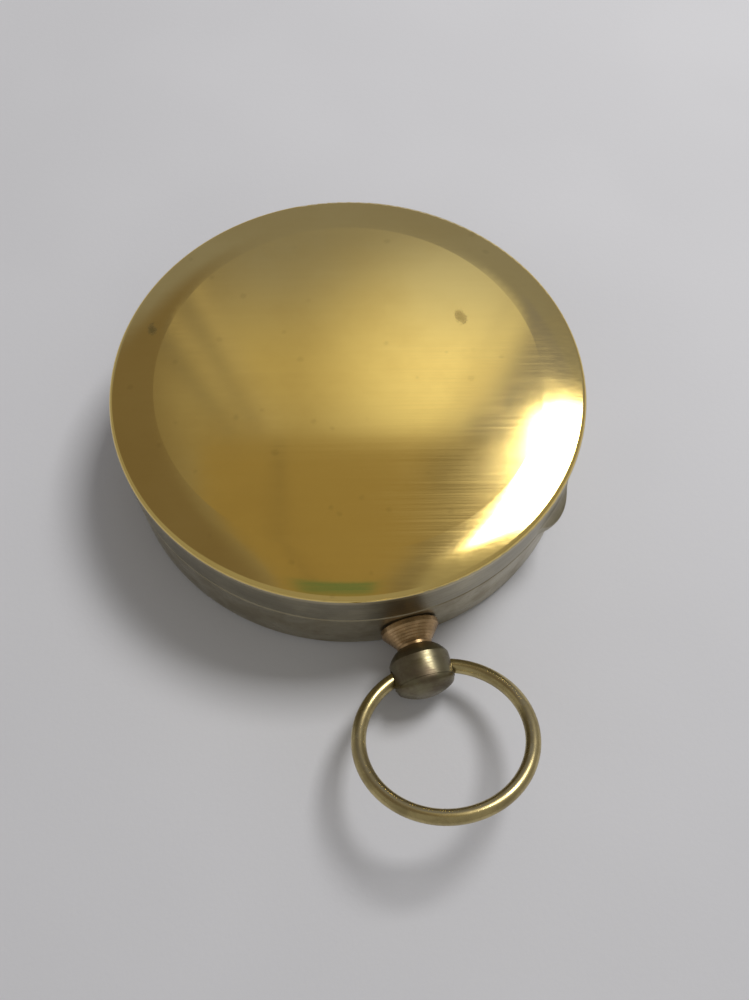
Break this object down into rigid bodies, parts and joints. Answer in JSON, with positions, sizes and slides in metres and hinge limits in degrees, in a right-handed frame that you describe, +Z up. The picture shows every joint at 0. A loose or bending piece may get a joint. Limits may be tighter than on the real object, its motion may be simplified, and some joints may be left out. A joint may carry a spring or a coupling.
{
  "type": "geology compass",
  "caption": "Round hunter-case pocket compass with hinged lid, needle, clinometer pendulum, lid-worked needle lifter, turned pendant and wire bow.",
  "frame": {"origin": "centre of the case's flat underside", "axes": "+Z up through the lid; -Y out along the pendant; lid's thumb lip at 44 degrees from the pendant towards +X, hinge opposite it"},
  "size_m": [0.075, 0.1054, 0.0202],
  "materials": {
    "polished_brass": "polished, finely brushed",
    "wall_brass": "satin, tarnished",
    "dark_brass": "satin, dark with age",
    "bow_brass": "polished, dulled with age",
    "bright_brass": "lacquered",
    "glass": "clear",
    "silvered_dial": "satin, silvered",
    "blued_steel": "blued",
    "steel": "bright",
    "jewel": "polished"
  },
  "bodies": {
    "case": {"case_body": "wall_brass", "spacer_ring": "bright_brass", "bezel": "bright_brass", "glass": "glass", "dial_plate": "silvered_dial", "dial_screws": "bright_brass", "pivot_post": "bright_brass", "pendulum_keeper": "bright_brass", "lever_bracket": "bright_brass", "lifter_screws": "steel", "fulcrum_pin": "steel", "lifter_spring": "steel", "hinge_case_leaf": "dark_brass", "hinge_pin": "steel", "pendant_cone": "dark_brass", "pendant_ball": "dark_brass"},
    "lid": {"lid_shell": "polished_brass", "lid_ring": "bright_brass", "hinge_lid_leaf": "dark_brass"},
    "bow": {"bow": "bow_brass"},
    "plunger": {"lift_plunger": "steel"},
    "lever": {"lifter_lever": "bright_brass"},
    "collar": {"lifter_collar": "bright_brass"},
    "needle": {"needle": "blued_steel", "needle_cap": "bright_brass", "needle_jewel": "jewel", "balance_weight": "bright_brass"},
    "pendulum": {"pendulum": "dark_brass"}
  },
  "joints": [
    {"name": "lid_hinge", "type": "hinge", "parent": "case", "child": "lid", "pos_m": [-0.02688, 0.02784, 0.01137], "axis": [-0.7193, -0.6947, 0], "range_deg": [0, 180]},
    {"name": "bow_swing", "type": "hinge", "parent": "case", "child": "bow", "pos_m": [0, -0.045, 0.00565], "axis": [-1, 0, 0], "range_deg": [-160, 92]},
    {"name": "plunger_rise", "type": "slide", "parent": "case", "child": "plunger", "axis": [0, 0, 1], "range_m": [0, 0.000685]},
    {"name": "lever_rock", "type": "hinge", "parent": "case", "child": "lever", "pos_m": [-0.01459, 0.01511, 0.0047], "axis": [0.7193, 0.6947, 0], "range_deg": [0, 2.73]},
    {"name": "collar_drop", "type": "slide", "parent": "case", "child": "collar", "axis": [0, 0, -1], "range_m": [0, 0.001]},
    {"name": "needle_spin", "type": "hinge", "parent": "collar", "child": "needle", "pos_m": [0, 0, 0.007], "axis": [0, 0, 1], "continuous": true},
    {"name": "pendulum_swing", "type": "hinge", "parent": "case", "child": "pendulum", "pos_m": [0, 0, 0.0025], "axis": [0, 0, 1], "continuous": true}
  ],
  "couplings": [
    {"joint": "plunger_rise", "follows": "lid_hinge", "m_per_rad": 0.00021751},
    {"joint": "lever_rock", "follows": "lid_hinge", "ratio": 0.015163},
    {"joint": "collar_drop", "follows": "lid_hinge", "m_per_rad": 0.00031831}
  ]
}
